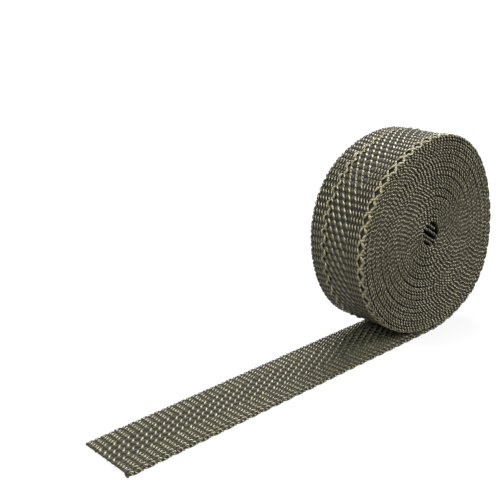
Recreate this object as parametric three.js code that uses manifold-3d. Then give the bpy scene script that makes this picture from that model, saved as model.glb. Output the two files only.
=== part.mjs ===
// Exhaust heat wrap: a roll of narrow woven mineral-fibre tape, wound on itself round a small open bore,
// with its outer end unrolled flat. Millimetres, +Z up, X along the tape, Y along the roll's axis.
import * as THREE from "three";
import { mergeVertices } from "three/addons/utils/BufferGeometryUtils.js";
import Module from "manifold-3d";

// The tape, and the roll that it is wound into
const tapeWidth = 25.4;
const tapeThickness = 1;
const rollDiameter = 76;
const boreDiameter = 10;
const tailLength = 138; // flat tape, from under the roll's axis to its cut end

// The turns show on both ends of the roll as rings, with a shallow gap between one and the next
const turnsPerRing = 2; // turns drawn as one ring
const gapDepth = 0.5;
const roundSegments = 72;

const rollRadius = rollDiameter / 2;
const boreRadius = boreDiameter / 2;
const halfWidth = tapeWidth / 2;

const wasm = await Module();
wasm.setup();

// A closed three.js geometry as a solid that can be joined
function solidOf(geometry) {
  geometry.deleteAttribute("normal");
  geometry.deleteAttribute("uv");
  const merged = mergeVertices(geometry);
  const vertProperties = merged.attributes.position.array;
  const triVerts = new Uint32Array(merged.index.array);
  return new wasm.Manifold(new wasm.Mesh({ numProp: 3, vertProperties, triVerts }));
}

// A joined solid as a three.js geometry again
function geometryOf(solid) {
  const mesh = solid.getMesh();
  const geometry = new THREE.BufferGeometry();
  geometry.setAttribute("position", new THREE.BufferAttribute(mesh.vertProperties, mesh.numProp));
  geometry.setIndex(new THREE.BufferAttribute(mesh.triVerts, 1));
  geometry.computeVertexNormals();
  return geometry;
}

// One end of the roll from the bore outwards: each ring stands full width and falls to the gaps beside it,
// and the first and last turns keep the full width at the bore and at the outside.
function endProfile() {
  const ringCount = Math.max(1, Math.round((rollRadius - boreRadius) / (tapeThickness * turnsPerRing)));
  const ringPitch = (rollRadius - boreRadius) / ringCount;
  const points = [[boreRadius, halfWidth]];
  for (let ring = 1; ring < ringCount; ring++) {
    const gapRadius = boreRadius + ring * ringPitch;
    points.push([gapRadius, halfWidth - gapDepth]);
    if (ring < ringCount - 1) points.push([gapRadius + ringPitch / 2, halfWidth]);
  }
  points.push([rollRadius - ringPitch / 2, halfWidth], [rollRadius, halfWidth]);
  return points;
}

// The wound tape: the two ends joined by the bore's wall and the outer turn, turned about the axis
function woundRoll() {
  const front = endProfile();
  const back = front.map(([radius, y]) => [radius, -y]).reverse();
  const outline = [...back, ...front, back[0]].map(([radius, y]) => new THREE.Vector2(radius, y));
  const roll = new THREE.LatheGeometry(outline.reverse(), roundSegments);
  roll.translate(0, 0, rollRadius);
  return roll;
}

// The unrolled stretch: it lies flat on the floor and runs into the lowest point of the outer turn
function flatTail() {
  const tail = new THREE.BoxGeometry(tailLength, tapeWidth, tapeThickness);
  tail.translate(-tailLength / 2, 0, tapeThickness / 2);
  return tail;
}

const tapeMaterial = new THREE.MeshStandardMaterial({ color: 0x87826c, roughness: 0.55, metalness: 0 });
const wrap = new THREE.Mesh(geometryOf(solidOf(woundRoll()).add(solidOf(flatTail()))), tapeMaterial);
wrap.name = "heat_wrap_roll";
wrap.position.x = (tailLength - rollRadius) / 2; // the origin is under the middle of the whole length

const group = new THREE.Group();
group.add(wrap);

export default group;
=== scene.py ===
import math

import bpy
import numpy as np
from mathutils import Matrix, Vector


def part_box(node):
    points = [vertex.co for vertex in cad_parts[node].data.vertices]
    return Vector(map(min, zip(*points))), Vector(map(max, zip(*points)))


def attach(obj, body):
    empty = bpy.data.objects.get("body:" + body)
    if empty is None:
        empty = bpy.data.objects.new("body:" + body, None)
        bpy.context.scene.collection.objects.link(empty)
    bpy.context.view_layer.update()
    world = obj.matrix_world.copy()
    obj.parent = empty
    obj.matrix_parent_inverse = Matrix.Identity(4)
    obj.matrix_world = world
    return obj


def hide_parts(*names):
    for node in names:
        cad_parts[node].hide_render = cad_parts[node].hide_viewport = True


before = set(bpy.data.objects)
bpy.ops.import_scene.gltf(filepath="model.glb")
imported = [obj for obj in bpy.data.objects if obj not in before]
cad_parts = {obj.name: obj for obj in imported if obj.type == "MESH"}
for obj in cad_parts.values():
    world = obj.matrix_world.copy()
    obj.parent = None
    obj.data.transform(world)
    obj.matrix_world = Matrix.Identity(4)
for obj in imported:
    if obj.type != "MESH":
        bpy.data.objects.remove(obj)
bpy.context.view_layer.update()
mm = 0.001

# the tape and its roll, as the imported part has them
cadLow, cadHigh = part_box("heat_wrap_roll")
tapeWidth = cadHigh.y - cadLow.y
halfWidth = tapeWidth / 2
rollRadius = (cadHigh.z - cadLow.z) / 2
axisX = cadHigh.x - rollRadius
axisZ = cadLow.z + rollRadius
flatLength = axisX - cadLow.x

tape = {
    "thickness": 1.0 * mm,
    "rowPitch": 2.55 * mm,        # one row of floats to the next, along the tape
    "boreRadius": 5.6 * mm,
}
rowPitch = tape["rowPitch"]
unitLength = 2 * rowPitch         # the weave repeats every two rows


# colours, nodes and selection

def linear(hexColour):
    parts = [int(hexColour[i:i + 2], 16) / 255 for i in (0, 2, 4)]
    return [p / 12.92 if p <= 0.04045 else ((p + 0.055) / 1.055) ** 2.4 for p in parts] + [1.0]


# Adds one node. The links are a socket's name, or i and its number, to a value or another node's output.
def addNode(tree, kind, settings=None, **links):
    node = tree.nodes.new(kind)
    for key, value in (settings or {}).items():
        setattr(node, key, value)
    for key, value in links.items():
        numbered = key[0] == "i" and key[1:].isdigit()
        socket = node.inputs[int(key[1:]) if numbered else key.replace("_", " ")]
        if isinstance(value, bpy.types.NodeSocket):
            tree.links.new(value, socket)
        else:
            socket.default_value = value
    return node


# Gives a ramp its tones, each a place from 0 to 1 and a colour.
def setTones(ramp, tones):
    ramp.elements[0].color = linear(tones[0][1])
    ramp.elements[1].color = linear(tones[-1][1])
    for place, tone in tones[1:-1]:
        ramp.elements.new(place).color = linear(tone)


def selectOnly(*objects):
    bpy.ops.object.select_all(action="DESELECT")
    for o in objects:
        o.select_set(True)
    bpy.context.view_layer.objects.active = objects[0]


# the line that the middle of the tape follows, seen from the side

winding = {
    # the roll is slack and a little out of round: how many lobes, how high, and where one peaks
    "lobes": [(3, 0.75 * mm, math.radians(37)), (4, 0.55 * mm, math.radians(53))],
    # its turns lie a little uneven: how high the waves are, and how many in one turn
    "ripples": [(0.07 * mm, 0.37), (0.08 * mm, 1.61), (0.05 * mm, 2.73)],
    "roundStart": 1 / 9,          # the share of a turn over which the lobes and waves grow from nothing
    "boreShift": (-1.0 * mm, 1.7 * mm),      # the middle of the winding lies off the roll's axis
    # at one side the turns are tighter at the front edge than at the back: how much, where, how broad
    "cone": (1.7 * mm, math.radians(224), math.radians(29)),
    "coneMargin": 2 * mm,         # past the roll's radius; further out, the flat end stays as it is
    # the inner end lies to and fro across the bore: how far off the axis each run is, and half its length
    "foldAngle": math.radians(-35),
    "runs": [
        (-4.5 * mm, 2.0 * mm),
        (-3.0 * mm, 3.4 * mm),
        (-1.3 * mm, 4.0 * mm),
        (0.7 * mm, 4.0 * mm),
        (2.9 * mm, 3.2 * mm),
    ],
    "runBow": 0.25 * mm,          # how far a run bows to one side
    # points of the line
    "flatSteps": 40,
    "stepsPerTurn": 60,
    "stepsPerRun": 8,
    "stepsLeftOut": 4,            # where the innermost turn bends into the first run
}


# The middle of the turns of one radius, which lies further off the roll's axis the smaller they are.
def turnCentre(radius):
    inward = 1 - radius / rollRadius
    return Vector((axisX + winding["boreShift"][0] * inward, axisZ + winding["boreShift"][1] * inward))


# The winding line at so many turns from under the axis, seen with X right and Z up.
def spiralPoint(turn):
    angle = 2 * math.pi * turn
    radius = rollRadius - tape["thickness"] * (0.5 + turn)
    early = min(1, turn / winding["roundStart"])
    for count, height, peak in winding["lobes"]:
        radius += height * math.cos(count * (angle - peak)) * early * (radius / rollRadius) ** 2
    for height, waves in winding["ripples"]:
        radius += height * math.sin(2 * math.pi * waves * turn) * early
    return turnCentre(radius) + Vector((math.sin(angle), -math.cos(angle))) * radius


# The inner end, lying to and fro across the bore, from one run round a bend to the next.
def foldPoints():
    along = Vector((math.cos(winding["foldAngle"]), math.sin(winding["foldAngle"])))
    across = Vector((-along.y, along.x))
    axis = turnCentre(tape["boreRadius"])
    steps = winding["stepsPerRun"]
    points = []
    for k, (offset, reach) in enumerate(winding["runs"]):
        heading = 1 if k % 2 == 0 else -1
        for i in range(steps + 1):
            bow = winding["runBow"] * math.cos(math.pi * (i / steps - 0.5))
            place = along * heading * reach * (2 * i / steps - 1)
            points.append(axis + place + across * (offset - bow * heading))
        if k + 1 < len(winding["runs"]):
            nextOffset, nextReach = winding["runs"][k + 1]
            radius = (nextOffset - offset) / 2
            for i in range(1, steps):
                a = math.pi * (i / steps - 0.5)
                end = reach + (nextReach - reach) * i / steps
                bend = along * heading * (end + radius * math.cos(a))
                points.append(axis + bend + across * (offset + radius * (1 + math.sin(a))))
    return points


def windingPoints():
    points = []
    for i in range(winding["flatSteps"]):
        x = cadLow.x + flatLength * i / winding["flatSteps"]
        points.append(Vector((x, cadLow.z + tape["thickness"] / 2)))
    turns = (rollRadius - tape["boreRadius"]) / tape["thickness"]
    turns = math.floor(turns) + winding["foldAngle"] / (2 * math.pi) % 1    # to where the first run begins
    for i in range(int(turns * winding["stepsPerTurn"]) - winding["stepsLeftOut"]):
        points.append(spiralPoint(i / winding["stepsPerTurn"]))
    return points + foldPoints()


def makeWindingLine():
    points = windingPoints()
    line = bpy.data.curves.new("winding_line", "CURVE")
    line.dimensions = "2D"
    spline = line.splines.new("POLY")
    spline.points.add(len(points) - 1)
    for place, p in zip(points, spline.points):
        p.co = (place.x, place.y, 0, 1)
    holder = bpy.data.objects.new("winding_line", line)
    bpy.context.scene.collection.objects.link(holder)
    holder.rotation_euler.x = math.pi / 2
    holder.hide_render = True
    bpy.context.view_layer.update()
    length = sum((b - a).length for a, b in zip(points, points[1:]))
    print("winding line", round(length / mm), "mm long, the flat end included")
    return holder, length


# yarns

# The outline of a yarn cut across, a flattened round.
def makeSection(halfWide, halfThick, sides):
    section = bpy.data.curves.new("yarn_section", "CURVE")
    section.dimensions = "2D"
    spline = section.splines.new("POLY")
    spline.points.add(sides - 1)
    for i, p in enumerate(spline.points):
        a = 2 * math.pi * (i + 0.5) / sides
        p.co = (halfWide * math.cos(a), halfThick * math.sin(a), 0, 1)
    spline.use_cyclic_u = True
    holder = bpy.data.objects.new("yarn_section", section)
    bpy.context.scene.collection.objects.link(holder)
    return holder


# One yarn through the points, as a curve that joinYarns makes a mesh; the widths swell or thin it.
def makeYarn(points, widths, section):
    curve = bpy.data.curves.new("yarn", "CURVE")
    curve.dimensions = "3D"
    curve.twist_mode = "Z_UP"
    curve.bevel_mode = "OBJECT"
    curve.bevel_object = section
    spline = curve.splines.new("POLY")
    spline.points.add(len(points) - 1)
    for place, width, p in zip(points, widths, spline.points):
        p.co = (*place, 1)
        p.radius = width
    yarn = bpy.data.objects.new("yarn", curve)
    bpy.context.scene.collection.objects.link(yarn)
    return yarn


# Turns the yarns to meshes and joins them to one piece.
def joinYarns(name, yarns, sections):
    selectOnly(*yarns)
    bpy.ops.object.convert(target="MESH")
    bpy.ops.object.join()
    piece = bpy.context.object
    piece.name = piece.data.name = name
    bpy.ops.object.shade_smooth()
    for section in sections:
        bpy.data.objects.remove(section)
    return piece


# Keeps how far each point stands proud of the weave, from 0 deep to 1 on top, for the colour, which paints
# shade the deeper a point lies, and for the roughness.
def noteRise(piece, rise):
    values = [max(0.0, min(1.0, rise(v.co))) for v in piece.data.vertices]
    attribute = piece.data.attributes.new("rise", "FLOAT", "POINT")
    attribute.data.foreach_set("value", values)


warp = {
    "steps": 6,                   # points of a yarn in one row
    "sides": 6,
    "halfThick": 0.30 * mm,
    "lift": 0.24 * mm,            # a float's height over the middle of the tape
    "drop": 0.30 * mm,            # how far it dives between two rows
    "diveShape": 3,               # the higher, the longer the floats and the shorter the dives
    "diveThinning": 0.35,         # how much narrower a float is where it dives
    "flatTop": 2.1,               # the higher, the longer a middle yarn keeps its height over a row
    "middleThinning": 0.14,
    "shadeBelow": 0.42,            # of a float's height, below which the colour is still the full painted shade of the depth
    # how far the yarns stray: how long the waves are, how far they go, and which way
    "jitter": [(3 * mm, 0.5 * mm, "X"), (4 * mm, 0.35 * mm, "Y"), (6 * mm, 0.08 * mm, "Z")],
    "overlap": 6 * mm,            # how far the outer turn's weave goes on under itself
}

# the zones of the warp: where the first and last yarn lie, from the far edge, and how many there are,
# half of one's width, and how much it leans
zones = {
    "far": {"ends": (0.65 * mm, 5.55 * mm, 5), "halfWide": 0.53 * mm, "slope": 0.62},
    "middle": {"ends": (6.9 * mm, 16.1 * mm, 8), "halfWide": 0.92 * mm, "slope": 0.95},
    "near": {"ends": (17.5 * mm, 21.3 * mm, 4), "halfWide": 0.55 * mm, "slope": 0.60},
    "selvedge": {"ends": (22.6 * mm, 24.2 * mm, 2), "halfWide": 0.60 * mm, "slope": -0.45, "drop": 0.26 * mm},
}


# A yarn that floats on one face and dives between the rows: a long bead in every row.
def rowYarn(v, face, zone, section):
    points, widths = [], []
    count = 2 * warp["steps"]
    drop = zone.get("drop", warp["drop"])
    for i in range(count + 1):
        u = unitLength * i / count
        a = 2 * math.pi * (u / rowPitch - 0.5)
        dive = ((1 - math.cos(a)) / 2) ** warp["diveShape"]
        sway = zone["slope"] * rowPitch / (2 * math.pi) * math.sin(a)
        points.append((u, v + face * sway, face * (warp["lift"] - drop * dive)))
        widths.append(1 - warp["diveThinning"] * dive)
    return makeYarn(points, widths, section)


# A yarn that goes over one row and under the next, leaning as it goes.
def plainYarn(v, phase, zone, section):
    points, widths = [], []
    count = 2 * warp["steps"]
    thinning = warp["middleThinning"]
    for i in range(count + 1):
        u = unitLength * i / count
        a = 2 * math.pi * (u - rowPitch / 2) / unitLength + phase
        height = warp["lift"] * math.tanh(warp["flatTop"] * math.cos(a)) / math.tanh(warp["flatTop"])
        points.append((u, v + zone["slope"] * unitLength / (2 * math.pi) * math.sin(a), height))
        widths.append(1 - thinning + thinning * math.cos(2 * a))
    return makeYarn(points, widths, section)


def spread(zone):
    first, last, count = zone["ends"]
    return [halfWidth - first - (last - first) * i / (count - 1) for i in range(count)]


pick = {
    "halfWide": 1.0 * mm,
    "halfThick": 0.20 * mm,
    "sides": 6,
    "lift": 0.13 * mm,
    "inset": 0.5 * mm,            # from the tape's edge to the pick's end
    "flatFrom": 1.1 * mm,         # past the middle yarns, and from there to the edges it lies flat
}


# A pick, which crosses the tape under one row of floats and rises where the middle yarns dive.
def pickYarn(row, section):
    u = rowPitch * (row + 0.5)
    end = halfWidth - pick["inset"]
    middle = spread(zones["middle"])
    points = [(u, end, 0), (u, middle[0] + pick["flatFrom"], 0)]
    for i, v in enumerate(middle):
        points.append((u, v, pick["lift"] * (-1) ** (i + row + 1)))
    points += [(u, middle[-1] - pick["flatFrom"], 0), (u, -end, 0)]
    return makeYarn(points, [1] * len(points), section)


# the section of the thread in the seam and in the chain: half its width and thickness, and the sides
threadSection = (0.33 * mm, 0.26 * mm, 5)

seam = {
    "inset": 6.5 * mm,            # from the far edge
    "steps": 16,
    "swing": 0.85 * mm,           # how far a knot lies off the seam's line
    # the thread's height and width, and how much more of each a knot has
    "lift": 0.28 * mm,
    "knotLift": 0.24 * mm,
    "width": 0.9,
    "knotWidth": 1.2,
}


# The seam on the outer face: a knot in every row, by turns left and right, on a thin zigzag thread.
def seamYarn(section):
    seamAt = halfWidth - seam["inset"]
    points, widths = [], []
    for i in range(seam["steps"] + 1):
        a = 2 * math.pi * i / seam["steps"] + math.pi / 2
        turned = (1 + math.cos(2 * a + math.pi)) / 2
        height = seam["lift"] + seam["knotLift"] * turned
        points.append((unitLength * i / seam["steps"], seamAt + seam["swing"] * math.sin(a), -height))
        widths.append(seam["width"] + seam["knotWidth"] * turned)
    return makeYarn(points, widths, section)


chain = {
    "inset": 1.75 * mm,           # from the near edge to the middle of the diamonds
    "steps": 12,
    "bow": 1.5 * mm,              # half of a diamond across
    "bowShape": 0.8,              # under 1 rounds the diamond's sides
    # a thread's height and width, and how much more of each the middle of a diamond's side has
    "lift": 0.32 * mm,
    "sideLift": 0.20 * mm,
    "width": 0.65,
    "sideWidth": 1.3,
    # the slanted stroke where two diamonds meet: half of it along and across, its height and its widths
    "strokeReach": (0.5 * mm, 1.4 * mm),
    "strokeLift": 0.48 * mm,
    "strokeWidths": [1.0, 1.6, 1.8, 1.6, 1.0],
}


# The chain along the near edge of the outer face: two threads part and meet to leave diamonds.
def chainYarns(section):
    chainAt = -halfWidth + chain["inset"]
    yarns = []
    for side in (-1, 1):
        points, widths = [], []
        for i in range(chain["steps"] + 1):
            s = i / chain["steps"]
            out = 1 - abs(2 * s - 1)
            swell = abs(math.sin(2 * math.pi * s))
            bow = chain["bow"] * side * out ** chain["bowShape"]
            points.append((unitLength * s, chainAt + bow, -(chain["lift"] + chain["sideLift"] * swell)))
            widths.append(chain["width"] + chain["sideWidth"] * swell)
        yarns.append(makeYarn(points, widths, section))
    along, across = chain["strokeReach"]
    points = [(along * s, chainAt + across * s, -chain["strokeLift"]) for s in (1, 0.5, 0, -0.5, -1)]
    yarns.append(makeYarn(points, chain["strokeWidths"], section))
    return yarns


# Two rows of the weave, the whole width of the tape, lying flat. A face is 1 for up and -1 for down,
# and down is the face that comes to lie outside on the roll.
def weaveUnit(faces):
    sections = {
        name: makeSection(zone["halfWide"], warp["halfThick"], warp["sides"]) for name, zone in zones.items()
    }
    fill = makeSection(pick["halfWide"], pick["halfThick"], pick["sides"])
    thread = makeSection(*threadSection)
    yarns = []
    for face in faces:
        # the chain takes the selvedge's place on the outer face
        for name in ("far", "near", "selvedge") if face > 0 else ("far", "near"):
            for v in spread(zones[name]):
                yarns.append(rowYarn(v, face, zones[name], sections[name]))
    for i, v in enumerate(spread(zones["middle"])):
        yarns.append(plainYarn(v, math.pi * (i % 2), zones["middle"], sections["middle"]))
    yarns += [pickYarn(row, fill) for row in range(2)]
    yarns.append(seamYarn(thread))
    yarns += chainYarns(thread)
    unit = joinYarns("weave_unit", yarns, (*sections.values(), fill, thread))
    top = warp["halfThick"] + warp["lift"]
    # the colour paints shade into the dips and between the yarns, by how low each point lies
    noteRise(unit, lambda co: (abs(co.z) / top - warp["shadeBelow"]) / (1 - warp["shadeBelow"]))
    return unit


# laying a unit along the tape and winding it up

def addNoise(piece, name, size, strength, direction):
    texture = bpy.data.textures.new(name, "CLOUDS")
    texture.noise_scale = size
    texture.noise_depth = 1
    texture.noise_basis = "ORIGINAL_PERLIN"
    modifier = piece.modifiers.new(name, "DISPLACE")
    modifier.texture = texture
    modifier.texture_coords = "LOCAL"
    modifier.direction = direction
    modifier.mid_level = 0.5
    modifier.strength = strength


def applyAll(piece):
    selectOnly(piece)
    for name in [m.name for m in piece.modifiers]:
        bpy.ops.object.modifier_apply(modifier=name)


laying = {
    "mergeWithin": 0.02 * mm,     # the points of two units that meet become one
    "endSides": 12,               # a yarn's open end with no more sides than this gets a face
}


# Repeats a unit along the tape and winds it on the line.
def layAlong(unit, name, line, start, count, length, jitter):
    piece = unit.copy()
    piece.data = unit.data.copy()
    piece.name = piece.data.name = name
    bpy.context.scene.collection.objects.link(piece)
    piece.data.transform(Matrix.Translation((start, 0, 0)))
    rows = piece.modifiers.new("rows", "ARRAY")
    rows.use_relative_offset = False
    rows.use_constant_offset = True
    rows.constant_offset_displace = (length, 0, 0)
    rows.count = count
    rows.use_merge_vertices = True
    rows.merge_threshold = laying["mergeWithin"]
    for i, (size, strength, direction) in enumerate(jitter):
        addNoise(piece, f"{name}_noise_{i}", size, strength, direction)
    applyAll(piece)
    # the yarns' ends are closed and the faces turned outwards while the tape is still flat
    bpy.ops.object.mode_set(mode="EDIT")
    bpy.ops.mesh.select_all(action="DESELECT")
    bpy.ops.mesh.select_non_manifold(extend=False)
    bpy.ops.mesh.fill_holes(sides=laying["endSides"])
    bpy.ops.mesh.select_all(action="SELECT")
    bpy.ops.mesh.normals_make_consistent(inside=False)
    bpy.ops.object.mode_set(mode="OBJECT")
    wind = piece.modifiers.new("wind", "CURVE")
    wind.object = line
    wind.deform_axis = "POS_X"
    applyAll(piece)
    bpy.data.objects.remove(unit)
    triangles = sum(len(p.vertices) - 2 for p in piece.data.polygons)
    print(name, len(piece.data.vertices), "points,", triangles, "triangles")
    return piece


# Draws the turns in at the front edge and lets them out at the back, on one side of the roll,
# and presses flat what would stand under the floor.
def settle(piece):
    height, peak, breadth = winding["cone"]
    places = np.empty(len(piece.data.vertices) * 3)
    piece.data.vertices.foreach_get("co", places)
    places = places.reshape(-1, 3)
    x, z = places[:, 0] - axisX, places[:, 2] - axisZ
    radius = np.hypot(x, z)
    angle = np.arctan2(x, -z) % (2 * math.pi)
    push = height * np.exp(-0.5 * ((angle - peak) / breadth) ** 2)
    push *= places[:, 1] / halfWidth * (radius / rollRadius) ** 2
    push *= radius < rollRadius + winding["coneMargin"]
    places[:, 0] += push * x / radius
    places[:, 2] += push * z / radius
    places[:, 2] = np.maximum(places[:, 2], cadLow.z)
    piece.data.vertices.foreach_set("co", places.ravel())
    piece.data.update()


# the edges of the turns, which show on the two ends of the roll

edge = {
    "loopPitch": 1.7 * mm,        # along the edge, set against the end face in the photo
    # the outermost warp, a straight cord: half its width, and how far in from the tape's edge it lies
    "cordHalf": 0.44 * mm,
    "cordSides": 4,
    "cordDepth": 0.86 * mm,
    # the loop of filling yarn round it
    "loopHalf": 0.29 * mm,
    "loopSides": 5,
    "loopReach": 0.53 * mm,       # how far a loop climbs from one face of the tape to the other
    "loopLength": 1.35 * mm,
    "loopFoot": 0.70 * mm,        # how far in from the edge it starts, and how far it comes out
    "loopBow": 0.52 * mm,
    "loopStart": 0.08,            # of half a round, left out at each end of the bow
    "loopWidths": [0.5, 0.9, 1, 0.9, 0.5],
    "shadeFrom": 0.50 * mm,        # in from the edge, where the colour is the full painted shade of the depth between the turns
    "paleOver": 0.56 * mm,        # and over how far that painted shade fades to the crown's colour
    "jitter": [
        (4 * mm, 1.0 * mm, "X"),
        (2 * mm, 0.5 * mm, "X"),
        (2.6 * mm, 0.5 * mm, "Y"),
        (2 * mm, 0.22 * mm, "Z"),
    ],
}


# One loop of the filling yarn round the outermost warp, at one edge of the tape.
def edgeUnit(side):
    cord = makeSection(edge["cordHalf"], edge["cordHalf"], edge["cordSides"])
    loop = makeSection(edge["loopHalf"], edge["loopHalf"], edge["loopSides"])
    rim = side * halfWidth
    points = [(edge["loopPitch"] * i, rim - side * edge["cordDepth"], 0) for i in range(2)]
    yarns = [makeYarn(points, [1, 1], cord)]
    points = []
    for i in range(len(edge["loopWidths"])):
        s = i / (len(edge["loopWidths"]) - 1)
        out = math.sin(math.pi * (edge["loopStart"] + (1 - 2 * edge["loopStart"]) * s))
        points.append((
            edge["loopPitch"] * 0.5 + edge["loopLength"] * (s - 0.5),
            rim - side * (edge["loopFoot"] - edge["loopBow"] * out),
            edge["loopReach"] * (1 - 2 * s),
        ))
    yarns.append(makeYarn(points, edge["loopWidths"], loop))
    unit = joinYarns("edge_unit", yarns, (cord, loop))
    # the loops are painted with shade the further in from the tape's edge they lie, down between the turns on
    # the end of the roll
    noteRise(unit, lambda co: (side * co.y - (halfWidth - edge["shadeFrom"])) / edge["paleOver"])
    return unit


interior = {
    "lessWide": 1.1 * mm,         # than the tape
    "thickness": 0.28 * mm,
}


# One length of the tape's closed middle, which the yarns on both faces hide.
def interiorUnit():
    bpy.ops.mesh.primitive_cube_add(size=1, location=(rowPitch / 2, 0, 0))
    unit = bpy.context.object
    unit.scale = (rowPitch, tapeWidth - interior["lessWide"], interior["thickness"])
    bpy.ops.object.transform_apply(location=True, rotation=True, scale=True)
    # the faces between two lengths go, so that the lengths join to one strip
    bpy.ops.object.mode_set(mode="EDIT")
    bpy.ops.mesh.select_all(action="DESELECT")
    bpy.ops.object.mode_set(mode="OBJECT")
    for face in unit.data.polygons:
        face.select = abs(face.normal.x) > 0.9
    bpy.ops.object.mode_set(mode="EDIT")
    bpy.ops.mesh.delete(type="ONLY_FACE")
    bpy.ops.object.mode_set(mode="OBJECT")
    return unit


# materials

yarnFinish = {
    # from painted shade deep between the yarns to the yarn's own colour on the crown of a float
    "tones": [(0, "070906"), (0.3, "11140D"), (0.65, "23251B"), (1, "5E5A46")],
    # patches of fibre lie a little higher or lower on that scale: how many in a metre, and how far
    "patchScale": 420.0,
    "patchDetail": 3.0,
    "patchShift": 0.4,
    # and whole stretches are lighter or darker
    "broadScale": 55.0,
    "broadDetail": 2.0,
    "broadShift": 0.5,
    "roughness": 0.27,
    "deepRoughness": 0.85,
    "roughBetween": (0.1, 0.6),   # on the scale of rise, dull below the first and smooth above the second
    "ior": 1.68,
    "specular": 0.45,
    "gloss": "FFF2D2",
    "twistPerUnit": 14,           # turns of a yarn in two rows; the strands' real twist is finer
    "strandsAround": 2,
    "strandBump": 0.25,
    "strandHeight": 0.03 * mm,
}


# Basalt or glass filaments, twisted to roving and woven loosely: painted shade, dark olive to near black,
# down between the yarns, and with a silky cream gloss, broken up by the twist, where a float turns to the
# light.
def mineralFibreYarn():
    finish = yarnFinish
    material = bpy.data.materials.new("mineral_fibre_yarn")
    material.use_nodes = True
    tree = material.node_tree
    tree.nodes.clear()
    rise = addNode(tree, "ShaderNodeAttribute", {"attribute_name": "rise"})
    place = addNode(tree, "ShaderNodeTexCoord")
    patch = addNode(
        tree, "ShaderNodeTexNoise", None, Vector=place.outputs["Object"],
        Scale=finish["patchScale"], Detail=finish["patchDetail"],
    )
    broad = addNode(
        tree, "ShaderNodeTexNoise", None, Vector=place.outputs["Object"],
        Scale=finish["broadScale"], Detail=finish["broadDetail"],
    )
    shift = addNode(
        tree, "ShaderNodeMath", {"operation": "MULTIPLY_ADD"}, i0=patch.outputs["Fac"],
        i1=finish["patchShift"], i2=-finish["patchShift"] / 2,
    )
    level = addNode(
        tree, "ShaderNodeMath", {"operation": "ADD", "use_clamp": True},
        i0=rise.outputs["Fac"], i1=shift.outputs[0],
    )
    # the ramp paints shade, darker the lower a point lies between the yarns
    colour = addNode(tree, "ShaderNodeValToRGB", None, Fac=level.outputs[0])
    setTones(colour.color_ramp, finish["tones"])
    value = addNode(
        tree, "ShaderNodeMath", {"operation": "MULTIPLY_ADD"}, i0=broad.outputs["Fac"],
        i1=finish["broadShift"], i2=1 - finish["broadShift"] / 2,
    )
    tone = addNode(
        tree, "ShaderNodeHueSaturation", None, Color=colour.outputs["Color"], Value=value.outputs[0],
    )
    dullBelow, smoothAbove = finish["roughBetween"]
    rough = addNode(
        tree, "ShaderNodeMapRange", None, Value=rise.outputs["Fac"], From_Min=dullBelow, From_Max=smoothAbove,
        To_Min=finish["deepRoughness"], To_Max=finish["roughness"],
    )
    strandMap = addNode(tree, "ShaderNodeUVMap", {"uv_map": "UVMap"})
    strands = addNode(
        tree, "ShaderNodeVectorMath", {"operation": "DOT_PRODUCT"}, i0=strandMap.outputs[0],
        i1=(finish["twistPerUnit"], finish["strandsAround"], 0),
    )
    wave = addNode(
        tree, "ShaderNodeMath", {"operation": "MULTIPLY"}, i0=strands.outputs["Value"], i1=2 * math.pi,
    )
    ridge = addNode(tree, "ShaderNodeMath", {"operation": "SINE"}, i0=wave.outputs[0])
    bump = addNode(
        tree, "ShaderNodeBump", None, Strength=finish["strandBump"], Distance=finish["strandHeight"],
        Height=ridge.outputs[0],
    )
    shader = addNode(
        tree, "ShaderNodeBsdfPrincipled", None, Base_Color=tone.outputs["Color"], Roughness=rough.outputs[0],
        IOR=finish["ior"], Specular_IOR_Level=finish["specular"],
        Specular_Tint=linear(finish["gloss"]), Normal=bump.outputs["Normal"],
    )
    addNode(tree, "ShaderNodeOutputMaterial", None, Surface=shader.outputs[0])
    return material


interiorShadeFinish = {
    # near black: painted shade where the middle shows through the gaps between the yarns
    "tones": [(0, "0B0E0B"), (1, "272B24")],
    "scale": 700.0,
    "detail": 2.0,
    "roughness": 0.9,
    "specular": 0.15,
}


# The tape's closed middle: the same fibre packed tight, coloured near black as painted shade, so that it
# shows as dark, dull depth between the yarns.
def paintedShadeInterior():
    material = bpy.data.materials.new("interior_painted_shade")
    material.use_nodes = True
    tree = material.node_tree
    shader = tree.nodes["Principled BSDF"]
    place = addNode(tree, "ShaderNodeTexCoord")
    patch = addNode(
        tree, "ShaderNodeTexNoise", None, Vector=place.outputs["Object"],
        Scale=interiorShadeFinish["scale"], Detail=interiorShadeFinish["detail"],
    )
    colour = addNode(tree, "ShaderNodeValToRGB", None, Fac=patch.outputs["Fac"])
    setTones(colour.color_ramp, interiorShadeFinish["tones"])
    tree.links.new(colour.outputs["Color"], shader.inputs["Base Color"])
    shader.inputs["Roughness"].default_value = interiorShadeFinish["roughness"]
    shader.inputs["Specular IOR Level"].default_value = interiorShadeFinish["specular"]
    return material


def finishPiece(piece, material):
    piece.data.materials.clear()
    piece.data.materials.append(material)
    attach(piece, "root")


# the camera stands where the photographer's did

cameraPlace = {
    "aim": (-27.1 * mm, 0, 51.05 * mm),
    "distance": 287.0 * mm,
    "azimuth": math.radians(-39.36),
    "elevation": math.radians(19.07),
    "tilt": math.radians(-3.61),
    "focalPixels": 884.9,
    "picturePixels": 500,
    "sensorWidth": 36,
}


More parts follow.
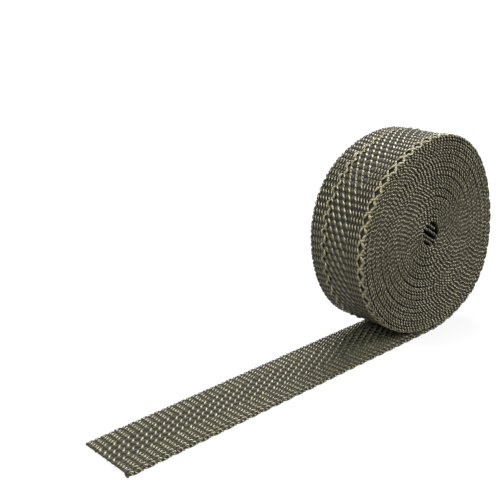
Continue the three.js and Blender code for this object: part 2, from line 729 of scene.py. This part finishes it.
def makeCamera():
    c = cameraPlace
    data = bpy.data.cameras.new("camera")
    camera = bpy.data.objects.new("camera", data)
    bpy.context.scene.collection.objects.link(camera)
    data.sensor_width = c["sensorWidth"]
    data.lens = c["focalPixels"] * c["sensorWidth"] / c["picturePixels"]
    flat = math.cos(c["elevation"])
    back = Vector((math.sin(c["azimuth"]) * flat, -math.cos(c["azimuth"]) * flat, math.sin(c["elevation"])))
    right = Vector((0, 0, 1)).cross(back).normalized()
    up = back.cross(right)
    rolledRight = right * math.cos(c["tilt"]) + up * math.sin(c["tilt"])
    rolledUp = up * math.cos(c["tilt"]) - right * math.sin(c["tilt"])
    turn = Matrix((rolledRight, rolledUp, back)).transposed()
    camera.matrix_world = Matrix.Translation(Vector(c["aim"]) + back * c["distance"]) @ turn.to_4x4()
    bpy.context.scene.camera = camera


studio = {
    # where each lamp shines from, how strong and how broad it is
    "lamps": {
        "key": ((-0.70, 0.32, 0.66), 5.6, math.radians(34)),
        "top": ((0.50, 0.42, 0.76), 4.0, math.radians(34)),
        "front": ((0.50, -0.76, 0.42), 7.7, math.radians(26)),
    },
    "world": 0.10,
    "tableTone": 0.08,
    "tableGlow": 0.82,            # the light table's own light, which keeps its shadows pale
    "tableRoughness": 0.9,
    "tableSize": 40,
    "tableGap": 0.02 * mm,        # under the tape
}


def makeTable():
    bpy.ops.object.select_all(action="DESELECT")
    level = cadLow.z - studio["tableGap"]
    bpy.ops.mesh.primitive_plane_add(size=studio["tableSize"], location=(0, 0, level))
    table = bpy.context.object
    table.name = "light_table"
    acrylic = bpy.data.materials.new("white_acrylic")
    acrylic.use_nodes = True
    shader = acrylic.node_tree.nodes["Principled BSDF"]
    shader.inputs["Base Color"].default_value = (*[studio["tableTone"]] * 3, 1)
    shader.inputs["Roughness"].default_value = studio["tableRoughness"]
    shader.inputs["Emission Color"].default_value = (1, 1, 1, 1)
    shader.inputs["Emission Strength"].default_value = studio["tableGlow"]
    table.data.materials.append(acrylic)


def makeLight():
    for name, (source, strength, breadth) in studio["lamps"].items():
        sun = bpy.data.lights.new(name, "SUN")
        sun.energy = strength
        sun.angle = breadth
        lamp = bpy.data.objects.new(name, sun)
        bpy.context.scene.collection.objects.link(lamp)
        lamp.rotation_euler = (-Vector(source)).to_track_quat("-Z", "Y").to_euler()
    world = bpy.data.worlds.new("studio")
    bpy.context.scene.world = world
    world.use_nodes = True
    background = world.node_tree.nodes["Background"]
    background.inputs["Color"].default_value = (1, 1, 1, 1)
    background.inputs["Strength"].default_value = studio["world"]
    bpy.context.scene.view_settings.view_transform = "Standard"


makeCamera()
line, wholeLength = makeWindingLine()

tailUnits = round(flatLength / unitLength)
turnUnits = math.ceil((2 * math.pi * rollRadius + warp["overlap"]) / unitLength)
tail = layAlong(weaveUnit((1, -1)), "flat_end", line, 0, tailUnits, unitLength, warp["jitter"])
turnStart = tailUnits * unitLength
turn = layAlong(weaveUnit((-1,)), "outer_turn", line, turnStart, turnUnits, unitLength, warp["jitter"])
print("weave laid")

loopCount = int(wholeLength / edge["loopPitch"])
edges = []
for side, name in ((-1, "front_edges"), (1, "back_edges")):
    edges.append(layAlong(edgeUnit(side), name, line, 0, loopCount, edge["loopPitch"], edge["jitter"]))
print("edges laid")

body = layAlong(interiorUnit(), "tape_body", line, 0, int(wholeLength / rowPitch), rowPitch, [])

yarnMaterial = mineralFibreYarn()
for piece in (tail, turn, *edges):
    settle(piece)
    finishPiece(piece, yarnMaterial)
settle(body)
finishPiece(body, paintedShadeInterior())
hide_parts("heat_wrap_roll")
bpy.data.objects.remove(line)
print("pieces finished")

makeTable()
makeLight()
